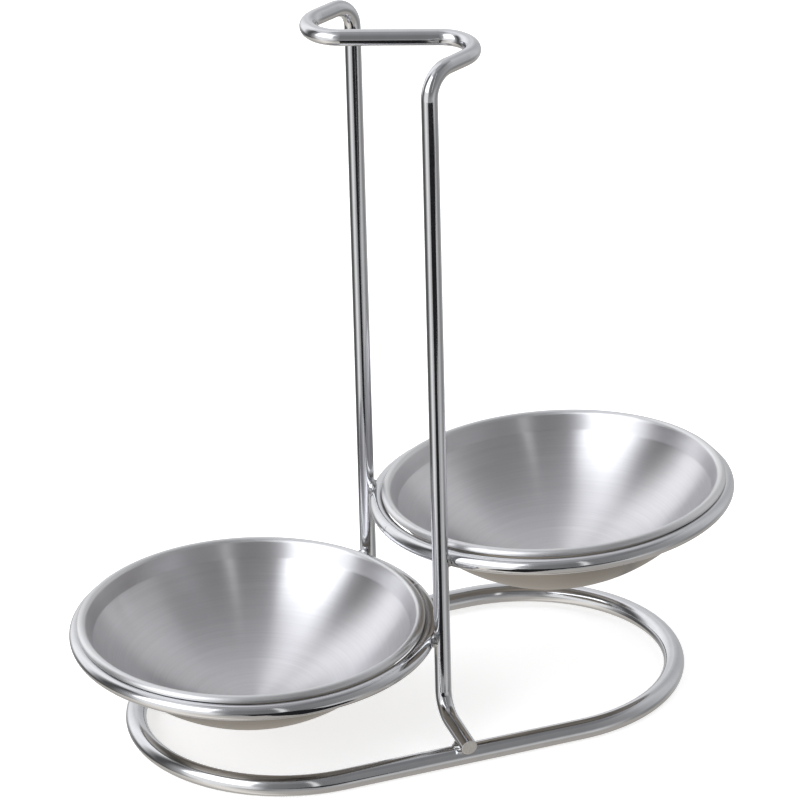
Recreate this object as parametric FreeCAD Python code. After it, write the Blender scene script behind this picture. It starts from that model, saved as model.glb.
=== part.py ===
"""Double ladle rest: two loose bowls in a welded wire stand.

Lengths are millimetres. Z is up and the table is z = 0. The base loop's long sides run along X and
the origin is the middle of the loop on the table. The front half of the upright wire is modelled and
turned half round about Z to make its back half. Each ring touches both posts, the front ring from -X
and the back ring from +X. The back ring is higher, so the two pass over each other between the posts,
and it is a little out of level.
"""
import FreeCAD, Part
import math
import os

V = FreeCAD.Vector
UP = V(0, 0, 1)

# Wire sizes
WIRE_R = 2.5                # rings, posts and hooks: 5 mm wire
BASE_WIRE_R = 3.2           # base loop: 6.4 mm wire
WELD_SINK = 0.3             # how far two wires are pressed into each other at a weld

# Base loop, an oblong of two straights and two half circles
BASE_HALF_STRAIGHT = 39.0
BASE_END_R = 47.5           # to the wire's centre, so also half the distance between the straights

# Upright wire: foot, post, leg, hook and crossbar, then the same again turned half round
POST_Y = 31.5               # distance of each post's axis from the origin
TOP_Z = 220.5               # centre height of the crossbar and the hooks
HOOK_CORNER = (33.0, -14.5)  # where the crossbar's line and the leg's line cross, in plan
HOOK_R = 10.2               # hook's round, to the wire's centre
TOP_BEND_R = 8.0            # post into leg
FOOT_BEND_R = 8.0           # post into foot
FOOT_SLOPE_DEG = 7.5        # the foot falls a little towards its end
FOOT_OVERHANG = 5.0         # how far the foot's end passes the centre of the base wire

# Rings that carry the bowls
RING_R = 54.1               # to the wire's centre
FRONT_RING_Z = 34.5
BACK_RING_Z = 60.7
BACK_RING_RISE_DEG = 3.1    # slope of the back ring
BACK_RING_BEARING_DEG = -62.0  # direction in which it rises, from +X towards +Y

# Bowls: one sheet that bends out from the centre, all radii on its outer side
SHEET = 0.8
BOTTOM_R = 60.0             # round bottom
BOTTOM_EDGE_DEG = 55.0      # slope where the round bottom ends
SHOULDER_R = 4.0            # soft crease up to the steeper wall
WALL_DEG = 68.0             # slope of the straight wall
WALL_LENGTH = 4.6
LIP_R = 0.7                 # rolled lip, on the side that faces the ring
LIP_END_DEG = -95.0         # slope where the lip's sheet ends, over the ring
LIP_GAP = 0.25              # play between a centred lip and its ring
BOWL_SHIFT = 0.8            # each bowl lies off centre in its ring, away from the posts

# Welds
RING_WELD_R = 2.2
FOOT_WELD_R = 2.5


def unit(vector):
    return vector * (1.0 / vector.Length)


def polar(angle_deg):
    """Unit vector in the XZ plane, from +X towards +Z."""
    angle = math.radians(angle_deg)
    return V(math.cos(angle), 0, math.sin(angle))


def turned(shape):
    """The same piece on the other side of the stand."""
    return shape.copy().rotate(V(0, 0, 0), UP, 180)


# ---- bent wire

def rounded_path(points, radii):
    """Straight runs through the points, with each inner corner rounded to its radius."""
    edges = []
    start = points[0]
    for before, corner, after, radius in zip(points, points[1:], points[2:], radii):
        back = unit(before - corner)
        ahead = unit(after - corner)
        half_angle = back.getAngle(ahead) / 2
        reach = radius / math.tan(half_angle)
        middle = corner + unit(back + ahead) * (radius / math.sin(half_angle) - radius)
        end = corner + ahead * reach
        edges.append(Part.LineSegment(start, corner + back * reach).toShape())
        edges.append(Part.Arc(corner + back * reach, middle, end).toShape())
        start = end
    edges.append(Part.LineSegment(start, points[-1]).toShape())
    return Part.Wire(edges)


def bent_wire(path, radius):
    """Round wire swept along a path of lines and arcs."""
    first = path.OrderedEdges[0]
    start = first.valueAt(first.FirstParameter)
    along = first.tangentAt(first.FirstParameter)
    section = Part.Wire([Part.Circle(start, along, radius).toShape()])
    return path.makePipeShell([section], True, True)


def base_loop():
    near = V(BASE_HALF_STRAIGHT, -BASE_END_R, BASE_WIRE_R)
    end = V(BASE_HALF_STRAIGHT + BASE_END_R, 0, BASE_WIRE_R)
    far = V(BASE_HALF_STRAIGHT, BASE_END_R, BASE_WIRE_R)
    edges = [Part.LineSegment(V(0, near.y, near.z), near).toShape(),
             Part.Arc(near, end, far).toShape(),
             Part.LineSegment(far, V(0, far.y, far.z)).toShape()]
    half = bent_wire(Part.Wire(edges), BASE_WIRE_R)
    return half.fuse(turned(half)).removeSplitter()


def foot_height(y):
    """Height of the front foot's centreline, which crosses the base wire sunk in by the weld."""
    slope = math.radians(FOOT_SLOPE_DEG)
    over_base = BASE_WIRE_R + (BASE_WIRE_R + WIRE_R - WELD_SINK) / math.cos(slope)
    return over_base + (y + BASE_END_R) * math.tan(slope)


def upright_wire():
    foot_end_y = -BASE_END_R - FOOT_OVERHANG
    front = [V(0, foot_end_y, foot_height(foot_end_y)),
             V(0, -POST_Y, foot_height(-POST_Y)),
             V(0, -POST_Y, TOP_Z),
             V(HOOK_CORNER[0], HOOK_CORNER[1], TOP_Z)]
    back = [V(-point.x, -point.y, point.z) for point in reversed(front)]
    radii = [FOOT_BEND_R, TOP_BEND_R, HOOK_R]
    return bent_wire(rounded_path(front + back, radii + radii[::-1]), WIRE_R)


# ---- rings, each modelled level round the origin with the posts on its +X side

def ring_reach():
    """Distance in plan from a ring's centre to the line through the two posts."""
    to_post = RING_R + 2 * WIRE_R - WELD_SINK
    return math.sqrt(to_post ** 2 - POST_Y ** 2)


def ring():
    return Part.makeTorus(RING_R, WIRE_R)


def ring_blobs():
    """Balls of weld metal where the ring meets the front post and the back post."""
    blobs = []
    for post_y in (-POST_Y, POST_Y):
        towards_post = unit(V(ring_reach(), post_y, 0))
        blobs.append(Part.makeSphere(RING_WELD_R, towards_post * (RING_R + WIRE_R - WELD_SINK / 2)))
    return blobs


def in_front(shape):
    """Moves a ring, or what belongs to it, to the front ring's place."""
    return shape.copy().translate(V(-ring_reach(), 0, FRONT_RING_Z))


def at_back(shape):
    """Turns a ring, or what belongs to it, half round, tilts it and moves it to the back ring's place."""
    bearing = math.radians(BACK_RING_BEARING_DEG)
    level_axis = V(math.sin(bearing), -math.cos(bearing), 0)
    piece = turned(shape).rotate(V(0, 0, 0), level_axis, BACK_RING_RISE_DEG)
    return piece.translate(V(ring_reach(), 0, BACK_RING_Z))


# ---- bowls

def sheet_bends(inset):
    """The three bends of a bowl's sheet in the XZ plane, each as its start, middle and end.

    The inset is measured from the outer side of the sheet. The bowl's own bottom is the origin.
    """
    def bend(centre, radius, from_deg, to_deg):
        return [centre + polar(slope - 90) * radius
                for slope in (from_deg, (from_deg + to_deg) / 2, to_deg)]

    bottom_centre = V(0, 0, BOTTOM_R)
    shoulder_centre = bottom_centre + polar(BOTTOM_EDGE_DEG - 90) * (BOTTOM_R - SHOULDER_R)
    wall_start = shoulder_centre + polar(WALL_DEG - 90) * SHOULDER_R
    lip_centre = wall_start + polar(WALL_DEG) * WALL_LENGTH + polar(WALL_DEG - 90) * LIP_R
    return [bend(bottom_centre, BOTTOM_R - inset, 0, BOTTOM_EDGE_DEG),
            bend(shoulder_centre, SHOULDER_R - inset, BOTTOM_EDGE_DEG, WALL_DEG),
            bend(lip_centre, -LIP_R - inset, WALL_DEG, LIP_END_DEG)]


def bowl_height():
    """Height of the bowl's bottom over its ring's centre, with the lip's rounded end clear of the ring."""
    lip_end = sheet_bends(SHEET / 2)[2][2]
    reach = WIRE_R + LIP_GAP + SHEET / 2
    return math.sqrt(reach ** 2 - (RING_R - lip_end.x) ** 2) - lip_end.z


def bowl():
    outer = sheet_bends(0.0)
    inner = sheet_bends(SHEET)
    lip_end = sheet_bends(SHEET / 2)[2][2]
    edges = []
    for bottom, shoulder, lip in (outer, inner):
        edges.append(Part.Arc(*bottom).toShape())
        edges.append(Part.Arc(*shoulder).toShape())
        edges.append(Part.LineSegment(shoulder[2], lip[0]).toShape())
        edges.append(Part.Arc(*lip).toShape())
    rounded_end = lip_end + polar(LIP_END_DEG) * (SHEET / 2)
    edges.append(Part.Arc(outer[2][2], rounded_end, inner[2][2]).toShape())
    edges.append(Part.LineSegment(inner[0][0], outer[0][0]).toShape())
    section = Part.Face(Part.Wire(Part.__sortEdges__(edges)))
    return section.revolve(V(0, 0, 0), UP, 360).translate(V(-BOWL_SHIFT, 0, bowl_height()))


# ---- welds

def weld(blob, wires):
    """Fillet of weld metal left of a blob, in the narrow gap where two wires meet."""
    for wire in wires:
        blob = blob.cut(wire)
    return blob


def build():
    upright = upright_wire()
    loop = base_loop().cut(upright)
    foot_touch = V(0, -BASE_END_R, 2 * BASE_WIRE_R - WELD_SINK / 2)
    foot_weld = weld(Part.makeSphere(FOOT_WELD_R, foot_touch), [upright, loop])
    nodes = {
        "base_loop": loop,
        "upright_wire": upright,
        "front_foot_weld": foot_weld,
        "back_foot_weld": turned(foot_weld),
        "front_bowl": in_front(bowl()),
        "back_bowl": at_back(bowl()),
    }
    for name, place in (("front_ring", in_front), ("back_ring", at_back)):
        nodes[name] = place(ring()).cut(upright)
        welds = [weld(place(blob), [upright, nodes[name]]) for blob in ring_blobs()]
        welds.sort(key=lambda shape: shape.BoundBox.Center.y)
        nodes[name + "_weld_front_post"] = welds[0]
        nodes[name + "_weld_back_post"] = welds[1]
    return nodes


os.makedirs("parts", exist_ok=True)
for node, shape in build().items():
    shape.exportStep("parts/" + node + ".step")
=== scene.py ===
"""Double ladle rest: the looks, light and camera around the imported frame.

Lengths are metres, in the frame's own axes: Z up, the table at z = 0, the base loop's long sides along X.
The wires are the frame's own nodes with better materials. The bowls are lathed again here with their own
centres, so that the brushing can run round them, and the welds are made again as beads of metal. The cut
ends of the upright wire and the butt seams of the rings are added.
"""
import bmesh
import bpy
import math
from mathutils import Matrix, Vector


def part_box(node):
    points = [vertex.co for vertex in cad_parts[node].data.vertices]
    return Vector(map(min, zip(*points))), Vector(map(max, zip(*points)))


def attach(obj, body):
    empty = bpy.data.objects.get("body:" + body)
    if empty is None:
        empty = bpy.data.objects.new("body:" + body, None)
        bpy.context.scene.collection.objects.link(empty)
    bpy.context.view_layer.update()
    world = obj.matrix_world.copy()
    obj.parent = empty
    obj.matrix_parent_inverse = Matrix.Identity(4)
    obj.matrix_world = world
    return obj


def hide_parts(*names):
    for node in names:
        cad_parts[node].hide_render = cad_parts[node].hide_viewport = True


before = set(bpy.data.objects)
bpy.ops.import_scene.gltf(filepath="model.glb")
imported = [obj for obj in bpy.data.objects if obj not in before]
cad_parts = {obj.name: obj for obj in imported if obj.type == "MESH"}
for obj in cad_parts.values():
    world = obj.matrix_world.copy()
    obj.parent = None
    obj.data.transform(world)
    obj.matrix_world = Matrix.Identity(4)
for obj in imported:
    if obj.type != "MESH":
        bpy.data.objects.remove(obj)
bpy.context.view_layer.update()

MM = 0.001
WIRE_R = 2.5 * MM

# Bowl section: one sheet, radii on its outer side
SHEET = 0.8 * MM
BOTTOM_R = 60.0 * MM
BOTTOM_EDGE_DEG = 55.0
SHOULDER_R = 4.0 * MM
WALL_DEG = 68.0
WALL_LENGTH = 4.6 * MM
LIP_R = 0.7 * MM
LIP_END_DEG = -95.0

# Facets of a bowl: round it, and along each stretch of its section
BOWL_SEGMENTS = 256
BOTTOM_STEPS = 30
SHOULDER_STEPS = 4
WALL_STEPS = 4
LIP_STEPS = 18

# Rings: the back one and its bowl are a little out of level
RING_R = 54.1 * MM
BACK_RISE_DEG = 3.1
BACK_BEARING_DEG = -62.0      # direction in which they rise
TO_POST_DEG = 32.4            # direction of the posts from a ring's centre, to either side of the middle

# Butt seam of a ring: a thin swelling where the wire's two ends were joined
SEAM_DEG = 1.8          # its direction from the ring's centre, from the middle of the posts
SEAM_LENGTH = 1.5 * MM
SEAM_SWELL = 0.06 * MM
SEAM_SINK = 0.03 * MM
SEAM_STEPS_ALONG = 10
SEAM_STEPS_ROUND = 40

# Cut ends of the upright wire
FOOT_END = Vector((0, -52.5, 7.99)) * MM   # middle of the front one
FOOT_SLOPE_DEG = 7.5
FOOT_END_SEGMENTS = 64
# Section from the hidden side to the face, as (radius, height over the cut) in millimetres
FOOT_END_SECTION = ((0, -0.30), (2.30, -0.30), (2.44, -0.16), (2.44, 0.02), (2.36, 0.10), (2.2, 0.13),
                    (1.6, 0.16), (0.8, 0.18), (0, 0.185))

# Weld beads, as half sizes across the joint, along it and up
RING_BEAD = Vector((1.8, 2.6, 2.6)) * MM
FOOT_BEAD = Vector((3.5, 2.9, 1.5)) * MM

# Wire finish: roughness runs from the first value to the second
CHROME_COLOUR = (0.67, 0.675, 0.69)
CHROME_ROUGHNESS = (0.075, 0.12)
WAVES_PER_METRE = 80.0
WAVE_DEPTH = 0.05 * MM
HAZE_PER_METRE = 260.0

# Weld finish
WELD_COLOUR = (0.54, 0.54, 0.54)
WELD_ROUGHNESS = (0.14, 0.30)
LUMPS_PER_METRE = 700.0
LUMP_DEPTH = 0.07 * MM

# Cut finish: the marks' stretch makes them fine across and long along X
CUT_COLOUR = (0.80, 0.785, 0.76)
CUT_ROUGHNESS = (0.42, 0.60)
MARKS_PER_METRE = 700.0
MARK_STRETCH = (1.0, 6.0, 6.0)
MARK_DEPTH = 0.05 * MM

# Bowl finishes and painted shade, in the order of the section's zones: name, colour, darkest shade as a share
# of it, roughness, anisotropy, strength of the lines
# The underside's colour is darker and browner than the rest of the same sheet: painted shade under the bowl
BOWL_FINISHES_AND_SHADE = (("bowl_underside_painted_shade", (0.42, 0.39, 0.355), 0.88, 0.30, 0.6, 0.3),
                 ("bowl_lip", (0.76, 0.76, 0.765), 0.95, 0.38, 0.3, 0.1),
                 ("bowl_wall", (0.71, 0.705, 0.72), 0.94, 0.33, 0.85, 0.2),
                 ("bowl_inside", (0.75, 0.745, 0.76), 0.89, 0.285, 0.93, 0.3))
FINE_LINES = (2400.0, 45.0, 2.0)      # per metre of radius, per metre round it, detail
COARSE_LINES = (650.0, 22.0, 3.0)
LINE_DEPTH = 0.04 * MM
POLISH_CLOUDS_PER_METRE = 45.0
CLOUD_ROUGHNESS = (0.97, 1.05)        # shares of the finish's own roughness

# Camera
CAMERA_TARGET = Vector((0.2, 0.0, 101.9)) * MM
CAMERA_DISTANCE = 1677.6 * MM
CAMERA_AZIMUTH_DEG = -20.59
CAMERA_ELEVATION_DEG = 25.57
CAMERA_ROLL_DEG = -1.53
CAMERA_LENS_MM = 248.27
CAMERA_SENSOR_MM = 36.0
CAMERA_CLIP = (0.1, 20.0)

# Studio: pairs of a turn in degrees from the camera's own side, more to its right, and the tone that
# the chrome shows from there, from 0 to 1
CEILING_TONES = ((-180, .68), (-165, .82), (-135, .84), (-120, .78), (-105, .72), (-90, .80), (-60, .80),
                 (-45, .70), (-30, .56), (-15, .49), (15, .44), (75, .42), (90, .43), (105, .50), (120, .57),
                 (135, .62), (157, .67), (180, .68))
WALL_TONES = ((-180, .76), (-165, .74), (-150, .84), (-135, .90), (-118, .86), (-108, .54), (-100, .30),
              (-92, .28), (-84, .48), (-76, .64), (-24, .64), (-15, .44), (8, .39), (22, .42), (45, .46),
              (67, .50), (82, .54), (97, .62), (110, .67), (124, .69), (140, .64), (155, .62), (168, .68),
              (180, .76))
SKIRT_TONES = ((-180, .60), (-150, .53), (-130, .36), (-112, .27), (-95, .33), (-78, .58), (-62, .85),
               (-48, .80), (-32, .62), (-20, .50), (0, .56), (15, .54), (32, .62), (50, .70), (62, .64),
               (80, .51), (95, .46), (112, .52), (130, .60), (150, .62), (180, .60))
TABLE_TONES = ((-180, .64), (-150, .60), (-120, .61), (-98, .68), (-82, .76), (-60, .83), (-45, .80),
               (-30, .70), (-10, .61), (20, .59), (45, .57), (90, .58), (120, .57), (150, .55), (180, .64))
ZENITH_TONE = 0.54
CEILING_TINT = (0.99, 0.995, 1.03)
WALL_TINT = (0.99, 0.995, 1.015)
SKIRT_TINT = (1.0, 1.0, 1.0)
TABLE_TINT = (1.05, 1.0, 0.93)
# Rise in degrees where one band turns into the next
ZENITH_EDGE_DEG = (66, 80)
CEILING_EDGE_DEG = (42, 54)
SKIRT_TOP_DEG = (-20, 1)
SKIRT_BOTTOM_DEG = (-36, -30)
# Lights the metal mirrors: turn from, turn to, rise from, rise to, softness
WINDOW = (-76, -27, 8, 56, 3)
WINDOW_LIGHT = (2.45, 2.5, 2.6)
WINDOW_GLOW = (-74, -22, -20, 10, 6)
WINDOW_GLOW_LIGHT = (1.1, 1.1, 1.1)
STRIP = (15, 19, 2, 62, 1.5)
STRIP_LIGHT = (1.1, 1.1, 1.1)
DARK_CARD = ((-0.022, 0.075), (0.022, 0.075), (0.075, 0.285), (0.42, 0.27), (0.42, 0.60), (-0.21, 0.60),
             (-0.085, 0.285))   # corners as (to the camera's right, towards the camera)
CARD_COLOUR = (0.02, 0.02, 0.022)
CHROME_SHARE = 0.62           # how much of what the chrome sees it gives back
DISPLAY_GAMMA = 2.2
TABLE_LIGHT_SIZE = 2.0
TABLE_LIGHT_HEIGHT = 1.8
TABLE_LIGHT_WATTS = 10.0
FLOOR_GLOW = 0.62             # the table shines a little itself, so its shadows stay faint
FLOOR_HALF = 2.0
FLOOR_COLOUR = (0.95, 0.95, 0.95)
FLOOR_ROUGHNESS = 0.9
FLOOR_CLOUDS_PER_METRE = 3.0


# ---- nodes

class Nodes:
    """A material's or world's node tree, with short calls to add and join nodes."""

    def __init__(self, tree):
        self.tree = tree
        self.tree.nodes.clear()

    def put(self, socket, value):
        """Joins a socket to another, or sets its value; a colour may leave its alpha out."""
        if isinstance(value, bpy.types.NodeSocket):
            self.tree.links.new(value, socket)
        elif socket.type == "RGBA":
            socket.default_value = (*value, 1.0)
        else:
            socket.default_value = value

    def add(self, kind, inputs=None, **settings):
        node = self.tree.nodes.new(kind)
        for key, value in settings.items():
            setattr(node, key, value)
        for key, value in (inputs or {}).items():
            self.put(node.inputs[key], value)
        return node

    def math(self, operation, first, second=0.0):
        return self.add("ShaderNodeMath", {0: first, 1: second}, operation=operation).outputs[0]

    def dot(self, vector, axis):
        node = self.add("ShaderNodeVectorMath", {0: vector, 1: axis}, operation="DOT_PRODUCT")
        return node.outputs["Value"]

    def noise(self, vector, scale, detail):
        node = self.add("ShaderNodeTexNoise", {"Vector": vector, "Scale": scale, "Detail": detail})
        return node.outputs["Fac"]

    def ramp(self, factor, stops):
        """Colour ramp through (position, colour) stops."""
        node = self.add("ShaderNodeValToRGB", {"Fac": factor})
        elements = node.color_ramp.elements
        while len(elements) < len(stops):
            elements.new(1.0)
        for element, (position, colour) in zip(elements, stops):
            element.position = position
            element.color = (*colour, 1.0)
        return node.outputs["Color"]

    def spread(self, value, low, high):
        """Takes 0 to 1 onto low to high."""
        node = self.add("ShaderNodeMapRange", {"Value": value, "To Min": low, "To Max": high})
        return node.outputs["Result"]

    def step(self, value, start, end):
        """0 on start's side, 1 on end's side, smooth between."""
        node = self.add("ShaderNodeMapRange", {"Value": value, "From Min": start, "From Max": end},
                        interpolation_type="SMOOTHSTEP")
        return node.outputs["Result"]

    def patch(self, turn, rise, edges):
        """1 inside a soft-edged patch of directions, 0 outside."""
        left, right, bottom, top, soft = edges
        across = self.math("MULTIPLY", self.step(turn, left - soft, left + soft),
                           self.step(turn, right + soft, right - soft))
        up = self.math("MULTIPLY", self.step(rise, bottom - soft, bottom + soft),
                       self.step(rise, top + soft, top - soft))
        return self.math("MULTIPLY", across, up)

    def mix(self, factor, first, second):
        """Blends two colours, which the mix node has as inputs 6 and 7 and output 2."""
        node = self.add("ShaderNodeMix", {"Factor": factor}, data_type="RGBA")
        self.put(node.inputs[6], first)
        self.put(node.inputs[7], second)
        return node.outputs[2]


def new_material(name):
    material = bpy.data.materials.new(name)
    material.use_nodes = True
    return material, Nodes(material.node_tree)


def shades(colour, darkest):
    """Two ramp stops, from a darker shade of a colour to the colour."""
    return [(0.25, tuple(part * darkest for part in colour)), (0.75, colour)]


# ---- materials

def chrome():
    """Bright plated wire: faint waves from drawing and bending, small changes of polish."""
    material, nodes = new_material("chrome_wire")
    place = nodes.add("ShaderNodeTexCoord").outputs["Object"]
    waves = nodes.noise(place, WAVES_PER_METRE, 1.0)
    haze = nodes.noise(place, HAZE_PER_METRE, 3.0)
    bump = nodes.add("ShaderNodeBump", {"Height": waves, "Strength": 0.3, "Distance": WAVE_DEPTH})
    shader = nodes.add("ShaderNodeBsdfPrincipled", {
        "Base Color": nodes.ramp(haze, shades(CHROME_COLOUR, 0.95)), "Metallic": 1.0,
        "Roughness": nodes.spread(haze, *CHROME_ROUGHNESS), "Normal": bump.outputs["Normal"]})
    nodes.add("ShaderNodeOutputMaterial", {"Surface": shader.outputs["BSDF"]})
    return material


def weld_metal():
    """Plated weld bead: finely lumpy, darker and duller than the wire."""
    material, nodes = new_material("chrome_weld")
    place = nodes.add("ShaderNodeTexCoord").outputs["Object"]
    lumps = nodes.noise(place, LUMPS_PER_METRE, 2.0)
    bump = nodes.add("ShaderNodeBump", {"Height": lumps, "Strength": 0.4, "Distance": LUMP_DEPTH})
    shader = nodes.add("ShaderNodeBsdfPrincipled", {
        "Base Color": nodes.ramp(lumps, shades(WELD_COLOUR, 0.7)), "Metallic": 1.0,
        "Roughness": nodes.spread(lumps, *WELD_ROUGHNESS), "Normal": bump.outputs["Normal"]})
    nodes.add("ShaderNodeOutputMaterial", {"Surface": shader.outputs["BSDF"]})
    return material


def cut_steel():
    """Sheared end of a wire: matt, with the shear's parallel marks."""
    material, nodes = new_material("cut_steel")
    place = nodes.add("ShaderNodeTexCoord").outputs["Object"]
    stretched = nodes.add("ShaderNodeMapping", {"Vector": place, "Scale": MARK_STRETCH}).outputs["Vector"]
    marks = nodes.noise(stretched, MARKS_PER_METRE, 4.0)
    bump = nodes.add("ShaderNodeBump", {"Height": marks, "Strength": 0.5, "Distance": MARK_DEPTH})
    shader = nodes.add("ShaderNodeBsdfPrincipled", {
        "Base Color": nodes.ramp(marks, shades(CUT_COLOUR, 0.75)), "Metallic": 1.0,
        "Roughness": nodes.spread(marks, *CUT_ROUGHNESS), "Normal": bump.outputs["Normal"]})
    nodes.add("ShaderNodeOutputMaterial", {"Surface": shader.outputs["BSDF"]})
    return material


def brushed(name, colour, darkest, roughness, anisotropy, line_strength):
    """Steel brushed in circles round the piece's own axis: fine lines, a few coarser ones, cloudy polish."""
    material, nodes = new_material(name)
    place = nodes.add("ShaderNodeTexCoord").outputs["Object"]
    axes = nodes.add("ShaderNodeSeparateXYZ", {"Vector": place}).outputs
    flat = nodes.add("ShaderNodeCombineXYZ", {"X": axes["X"], "Y": axes["Y"]}).outputs[0]
    radius = nodes.add("ShaderNodeVectorMath", {0: flat}, operation="LENGTH").outputs["Value"]

    def lines(per_metre, along_per_metre, detail):
        circling = nodes.add("ShaderNodeCombineXYZ", {
            "X": nodes.math("MULTIPLY", axes["X"], along_per_metre),
            "Y": nodes.math("MULTIPLY", axes["Y"], along_per_metre),
            "Z": nodes.math("MULTIPLY", radius, per_metre)}).outputs[0]
        return nodes.noise(circling, 1.0, detail)

    fine = lines(*FINE_LINES)
    coarse = lines(*COARSE_LINES)
    clouds = nodes.noise(place, POLISH_CLOUDS_PER_METRE, 2.0)
    both = nodes.math("ADD", nodes.math("MULTIPLY", fine, 0.5), nodes.math("MULTIPLY", coarse, 0.5))
    bump = nodes.add("ShaderNodeBump", {"Height": both, "Strength": line_strength, "Distance": LINE_DEPTH})
    tangent = nodes.add("ShaderNodeTangent", direction_type="RADIAL", axis="Z").outputs["Tangent"]
    shader = nodes.add("ShaderNodeBsdfPrincipled", {
        "Base Color": nodes.ramp(both, shades(colour, darkest)), "Metallic": 1.0,
        "Roughness": nodes.spread(clouds, *(roughness * share for share in CLOUD_ROUGHNESS)),
        "Anisotropic": anisotropy, "Anisotropic Rotation": 0.25,
        "Normal": bump.outputs["Normal"], "Tangent": tangent})
    nodes.add("ShaderNodeOutputMaterial", {"Surface": shader.outputs["BSDF"]})
    return material


# ---- meshes

def mesh_object(name, vertices, faces, materials=()):
    mesh = bpy.data.meshes.new(name)
    mesh.from_pydata(vertices, [], faces)
    mesh.validate()
    mesh.shade_smooth()
    for material in materials:
        mesh.materials.append(material)
    obj = bpy.data.objects.new(name, mesh)
    bpy.context.scene.collection.objects.link(obj)
    return obj


def bearing(angle_deg):
    """Unit vector in plan, from +X towards +Y."""
    angle = math.radians(angle_deg)
    return Vector((math.cos(angle), math.sin(angle), 0))


def rise(angle_deg, bearing_deg):
    """Rotation that lifts whatever lies in a bearing by an angle."""
    return Matrix.Rotation(-math.radians(angle_deg), 4, bearing(bearing_deg + 90))


def node_centre(node):
    low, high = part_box(node)
    return (low + high) / 2


def finish_piece(obj, body, node=None):
    """Gives a piece its body, and hides the node that it stands for, if it replaces one."""
    if node:
        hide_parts(node)
    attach(obj, body)


def lathe(name, section, segments, materials, zone_of_band):
    """Closed surface of revolution round Z. The section's first and last points are on the axis."""
    vertices = [section[0], section[-1]]
    for point in section[1:-1]:
        for i in range(segments):
            turn = 2 * math.pi * i / segments
            vertices.append((point.x * math.cos(turn), point.x * math.sin(turn), point.z))

    def at(ring, step):
        return 2 + (ring - 1) * segments + step

    faces = []
    zones = []
    last_ring = len(section) - 2
    for near in range(segments):
        far = (near + 1) % segments
        faces.append((0, at(1, far), at(1, near)))
        zones.append(zone_of_band(0))
        for ring in range(1, last_ring):
            faces.append((at(ring, near), at(ring, far), at(ring + 1, far), at(ring + 1, near)))
            zones.append(zone_of_band(ring))
        faces.append((1, at(last_ring, near), at(last_ring, far)))
        zones.append(zone_of_band(last_ring))
    obj = mesh_object(name, vertices, faces, materials)
    for polygon, zone in zip(obj.data.polygons, zones):
        polygon.material_index = zone
    return obj


# ---- bowls

def polar(angle_deg):
    """Unit vector in the XZ plane, from +X towards +Z."""
    angle = math.radians(angle_deg)
    return Vector((math.cos(angle), 0, math.sin(angle)))


def bend(centre, radius, from_deg, to_deg, steps):
    """Points of a sheet whose slope turns from one angle to another round a centre."""
    slopes = [from_deg + (to_deg - from_deg) * i / steps for i in range(steps + 1)]
    return [centre + polar(slope - 90) * radius for slope in slopes]


def sheet_side(inset):
    """Bottom, shoulder, wall and lip of one side of the bowl's sheet, each as a list of points."""
    bottom_centre = Vector((0, 0, BOTTOM_R))
    shoulder_centre = bottom_centre + polar(BOTTOM_EDGE_DEG - 90) * (BOTTOM_R - SHOULDER_R)
    wall_start = shoulder_centre + polar(WALL_DEG - 90) * SHOULDER_R
    lip_centre = wall_start + polar(WALL_DEG) * WALL_LENGTH + polar(WALL_DEG - 90) * LIP_R
    bottom = bend(bottom_centre, BOTTOM_R - inset, 0, BOTTOM_EDGE_DEG, BOTTOM_STEPS)
    shoulder = bend(shoulder_centre, SHOULDER_R - inset, BOTTOM_EDGE_DEG, WALL_DEG, SHOULDER_STEPS)
    lip = bend(lip_centre, -LIP_R - inset, WALL_DEG, LIP_END_DEG, LIP_STEPS)
    wall = [shoulder[-1].lerp(lip[0], i / WALL_STEPS) for i in range(1, WALL_STEPS)]
    return bottom, shoulder[1:], wall, lip


def bowl_section():
    """Section from the outside of the bottom round the lip to the inside, and where its zones end."""
    outer = sheet_side(0.0)
    inner = sheet_side(SHEET)
    middle = (outer[3][-1] + inner[3][-1]) / 2
    across = outer[3][-1] - middle
    along = polar(LIP_END_DEG) * (SHEET / 2)
    rounded_end = [middle + across * math.cos(turn) + along * math.sin(turn)
                   for turn in (math.pi / 4, math.pi / 2, 3 * math.pi / 4)]
    outside = [point for part in outer for point in part]
    inside = [point for part in inner for point in part]
    underside_end = len(outside) - len(outer[3])
    lip_end = len(outside) + len(rounded_end) + len(inner[3]) - 1
    wall_end = lip_end + len(inner[2]) + len(inner[1]) // 2 + 1
    return outside + rounded_end + inside[::-1], (underside_end, lip_end, wall_end)


def make_bowl(body, rise_deg, bearing_deg, materials):
    section, zone_ends = bowl_section()

    def zone(band):
        return sum(band >= end for end in zone_ends)

    obj = lathe(body + "_shell", section, BOWL_SEGMENTS, materials, zone)
    tilt = rise(rise_deg, bearing_deg)
    corners = [tilt @ vertex.co for vertex in obj.data.vertices]
    low = Vector([min(corner[k] for corner in corners) for k in range(3)])
    high = Vector([max(corner[k] for corner in corners) for k in range(3)])
    obj.matrix_world = Matrix.Translation(node_centre(body) - (low + high) / 2) @ tilt
    finish_piece(obj, body, body)


# ---- small metalwork

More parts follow.
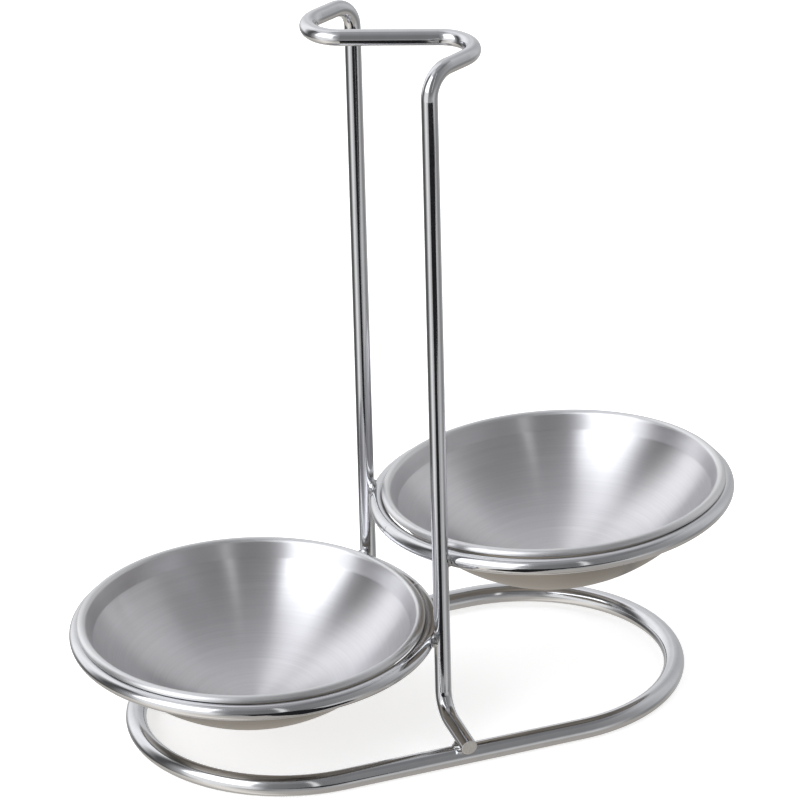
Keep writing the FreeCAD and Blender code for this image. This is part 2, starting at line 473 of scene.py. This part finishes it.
def make_bead(name, node, half_sizes, turn_deg, material):
    """Weld bead: a lumpy flattened ball of metal that stands out of the corners where two wires meet."""
    mesh = bmesh.new()
    bmesh.ops.create_icosphere(mesh, subdivisions=5, radius=1.0)
    for vertex in mesh.verts:
        x, y, z = vertex.co
        swell = 0.07 * math.sin(4.1 * x + 1.0) * math.cos(3.3 * y)
        ripple = 0.05 * math.sin(6.7 * z + 5.2 * y)
        vertex.co = Vector((x * half_sizes.x, y * half_sizes.y, z * half_sizes.z)) * (1 + swell + ripple)
    data = bpy.data.meshes.new(name)
    mesh.to_mesh(data)
    mesh.free()
    data.shade_smooth()
    data.materials.append(material)
    obj = bpy.data.objects.new(name, data)
    bpy.context.scene.collection.objects.link(obj)
    obj.matrix_world = Matrix.Translation(node_centre(node)) @ Matrix.Rotation(math.radians(turn_deg), 4, "Z")
    finish_piece(obj, "stand", node)


def make_seam(name, node, rise_deg, bearing_deg, towards_posts_deg, material):
    """Slight swelling all round a ring's wire where its ends were butted and welded."""
    vertices = []
    for i in range(SEAM_STEPS_ALONG + 1):
        share = i / SEAM_STEPS_ALONG
        angle = (share - 0.5) * SEAM_LENGTH / RING_R
        reach = WIRE_R - SEAM_SINK + (SEAM_SWELL + SEAM_SINK) * math.sin(math.pi * share)
        for k in range(SEAM_STEPS_ROUND):
            turn = 2 * math.pi * k / SEAM_STEPS_ROUND
            out = RING_R + reach * math.cos(turn)
            vertices.append((out * math.cos(angle), out * math.sin(angle), reach * math.sin(turn)))
    first_end = range(SEAM_STEPS_ROUND)
    last_end = range(SEAM_STEPS_ALONG * SEAM_STEPS_ROUND, (SEAM_STEPS_ALONG + 1) * SEAM_STEPS_ROUND)
    faces = [tuple(first_end)[::-1]]
    for start in range(0, last_end[0], SEAM_STEPS_ROUND):
        for k in first_end:
            a = start + k
            b = start + (k + 1) % SEAM_STEPS_ROUND
            faces.append((a, b, b + SEAM_STEPS_ROUND, a + SEAM_STEPS_ROUND))
    faces.append(tuple(last_end))
    obj = mesh_object(name, vertices, faces, [material])
    place = Matrix.Rotation(math.radians(towards_posts_deg + SEAM_DEG), 4, "Z")
    obj.matrix_world = Matrix.Translation(node_centre(node)) @ rise(rise_deg, bearing_deg) @ place
    finish_piece(obj, "stand")


def make_foot_end(name, side, material):
    """Sheared face of the upright wire, slightly domed, its edge rounded over."""
    section = [Vector((radius, 0, height)) * MM for radius, height in FOOT_END_SECTION]
    obj = lathe(name, section, FOOT_END_SEGMENTS, [material], lambda band: 0)
    slope = math.radians(FOOT_SLOPE_DEG)
    outward = Vector((0, side * math.cos(slope), -math.sin(slope)))
    centre = Vector((0, side * abs(FOOT_END.y), FOOT_END.z))
    obj.matrix_world = Matrix.Translation(centre) @ outward.to_track_quat("Z", "X").to_matrix().to_4x4()
    finish_piece(obj, "stand")


# ---- stage

def camera_side():
    """Unit vectors in plan: towards the camera, and to the camera's right."""
    azimuth = math.radians(CAMERA_AZIMUTH_DEG)
    front = Vector((math.sin(azimuth), -math.cos(azimuth), 0))
    right = Vector((math.cos(azimuth), math.sin(azimuth), 0))
    return front, right


def make_floor():
    """Plain pale table. The metal doesn't mirror it: it mirrors the world's own table tones instead."""
    corners = [(x * FLOOR_HALF, y * FLOOR_HALF, 0) for x, y in ((-1, -1), (1, -1), (1, 1), (-1, 1))]
    material, nodes = new_material("floor")
    place = nodes.add("ShaderNodeTexCoord").outputs["Object"]
    clouds = nodes.noise(place, FLOOR_CLOUDS_PER_METRE, 2.0)
    shader = nodes.add("ShaderNodeBsdfPrincipled", {
        "Base Color": nodes.ramp(clouds, shades(FLOOR_COLOUR, 0.98)),
        "Roughness": FLOOR_ROUGHNESS, "Emission Color": (1, 1, 1), "Emission Strength": FLOOR_GLOW})
    nodes.add("ShaderNodeOutputMaterial", {"Surface": shader.outputs["BSDF"]})
    floor = mesh_object("floor", corners, [(0, 1, 2, 3)], [material])
    floor.visible_glossy = False


def make_dark_card():
    """Dark card lying in front of the stand: only the metal mirrors it, as the dark line down each post."""
    front, right = camera_side()
    material, nodes = new_material("dark_card")
    shader = nodes.add("ShaderNodeEmission", {"Color": CARD_COLOUR})
    nodes.add("ShaderNodeOutputMaterial", {"Surface": shader.outputs["Emission"]})
    corners = [right * aside + front * ahead for aside, ahead in DARK_CARD]
    card = mesh_object("dark_card", corners, [tuple(range(len(corners)))], [material])
    card.visible_camera = False
    card.visible_diffuse = False
    card.visible_shadow = False


def make_table_light():
    """Large soft light overhead for the table alone: the metal doesn't mirror it."""
    data = bpy.data.lights.new("table_light", "AREA")
    data.shape = "SQUARE"
    data.size = TABLE_LIGHT_SIZE
    data.energy = TABLE_LIGHT_WATTS
    light = bpy.data.objects.new("table_light", data)
    bpy.context.scene.collection.objects.link(light)
    light.location = (0, 0, TABLE_LIGHT_HEIGHT)
    light.visible_glossy = False


def lit(tone, tint):
    """Light that chrome shows as this tone."""
    return tuple(tone ** DISPLAY_GAMMA / CHROME_SHARE * part for part in tint)


def make_world():
    """The studio as the metal sees it: table, walls and ceiling, a big window and a thin strip of light."""
    world = bpy.data.worlds.new("studio")
    world.use_nodes = True
    bpy.context.scene.world = world
    nodes = Nodes(world.node_tree)
    direction = nodes.add("ShaderNodeTexCoord").outputs["Generated"]
    front, right = camera_side()
    sideways = nodes.math("ARCTAN2", nodes.dot(direction, right), nodes.dot(direction, front))
    upward = nodes.math("ARCSINE", nodes.dot(direction, (0, 0, 1)))
    turn = nodes.math("MULTIPLY", sideways, 180 / math.pi)
    height = nodes.math("MULTIPLY", upward, 180 / math.pi)
    round_once = nodes.math("ADD", nodes.math("MULTIPLY", turn, 1 / 360), 0.5)

    def band(tones, tint):
        return nodes.ramp(round_once, [((at + 180) / 360, lit(tone, tint)) for at, tone in tones])

    room = band(TABLE_TONES, TABLE_TINT)
    room = nodes.mix(nodes.step(height, *SKIRT_BOTTOM_DEG), room, band(SKIRT_TONES, SKIRT_TINT))
    room = nodes.mix(nodes.step(height, *SKIRT_TOP_DEG), room, band(WALL_TONES, WALL_TINT))
    room = nodes.mix(nodes.step(height, *CEILING_EDGE_DEG), room, band(CEILING_TONES, CEILING_TINT))
    room = nodes.mix(nodes.step(height, *ZENITH_EDGE_DEG), room, lit(ZENITH_TONE, CEILING_TINT))
    for edges, light in ((WINDOW_GLOW, WINDOW_GLOW_LIGHT), (WINDOW, WINDOW_LIGHT), (STRIP, STRIP_LIGHT)):
        room = nodes.mix(nodes.patch(turn, height, edges), room, light)
    background = nodes.add("ShaderNodeBackground", {"Color": room, "Strength": 1.0})
    nodes.add("ShaderNodeOutputWorld", {"Surface": background.outputs["Background"]})


def make_camera():
    data = bpy.data.cameras.new("camera")
    data.sensor_width = CAMERA_SENSOR_MM
    data.lens = CAMERA_LENS_MM
    data.clip_start, data.clip_end = CAMERA_CLIP
    camera = bpy.data.objects.new("camera", data)
    bpy.context.scene.collection.objects.link(camera)
    elevation = math.radians(CAMERA_ELEVATION_DEG)
    back = camera_side()[0] * math.cos(elevation) + Vector((0, 0, math.sin(elevation)))
    look = (-back).to_track_quat("-Z", "Y").to_matrix().to_4x4()
    roll = Matrix.Rotation(math.radians(CAMERA_ROLL_DEG), 4, "Z")
    camera.matrix_world = Matrix.Translation(CAMERA_TARGET + back * CAMERA_DISTANCE) @ look @ roll
    bpy.context.scene.camera = camera


# ---- build

wire = chrome()
bead = weld_metal()
cut = cut_steel()
# Bowl materials by zone; the underside's colour is painted shade
bowl_finishes_and_shade = [brushed(*finish) for finish in BOWL_FINISHES_AND_SHADE]
for name in ("base_loop", "upright_wire", "front_ring", "back_ring"):
    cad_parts[name].data.materials[0] = wire

make_bowl("front_bowl", 0.0, 0.0, bowl_finishes_and_shade)
make_bowl("back_bowl", BACK_RISE_DEG, BACK_BEARING_DEG, bowl_finishes_and_shade)
# Each ring with the directions from its centre to the front post and to the back post
for ring, front_post_deg, back_post_deg in (("front_ring", -TO_POST_DEG, TO_POST_DEG),
                                            ("back_ring", 180.0 + TO_POST_DEG, 180.0 - TO_POST_DEG)):
    make_bead(ring + "_bead_front_post", ring + "_weld_front_post", RING_BEAD, front_post_deg, bead)
    make_bead(ring + "_bead_back_post", ring + "_weld_back_post", RING_BEAD, back_post_deg, bead)
make_bead("front_foot_bead", "front_foot_weld", FOOT_BEAD, 0.0, bead)
make_bead("back_foot_bead", "back_foot_weld", FOOT_BEAD, 180.0, bead)
make_seam("front_ring_seam", "front_ring", 0.0, 0.0, 0.0, wire)
make_seam("back_ring_seam", "back_ring", BACK_RISE_DEG, BACK_BEARING_DEG, 180.0, wire)
make_foot_end("front_foot_end", -1, cut)
make_foot_end("back_foot_end", 1, cut)
make_floor()
make_dark_card()
make_table_light()
make_world()
make_camera()
bpy.context.scene.view_settings.view_transform = "Standard"
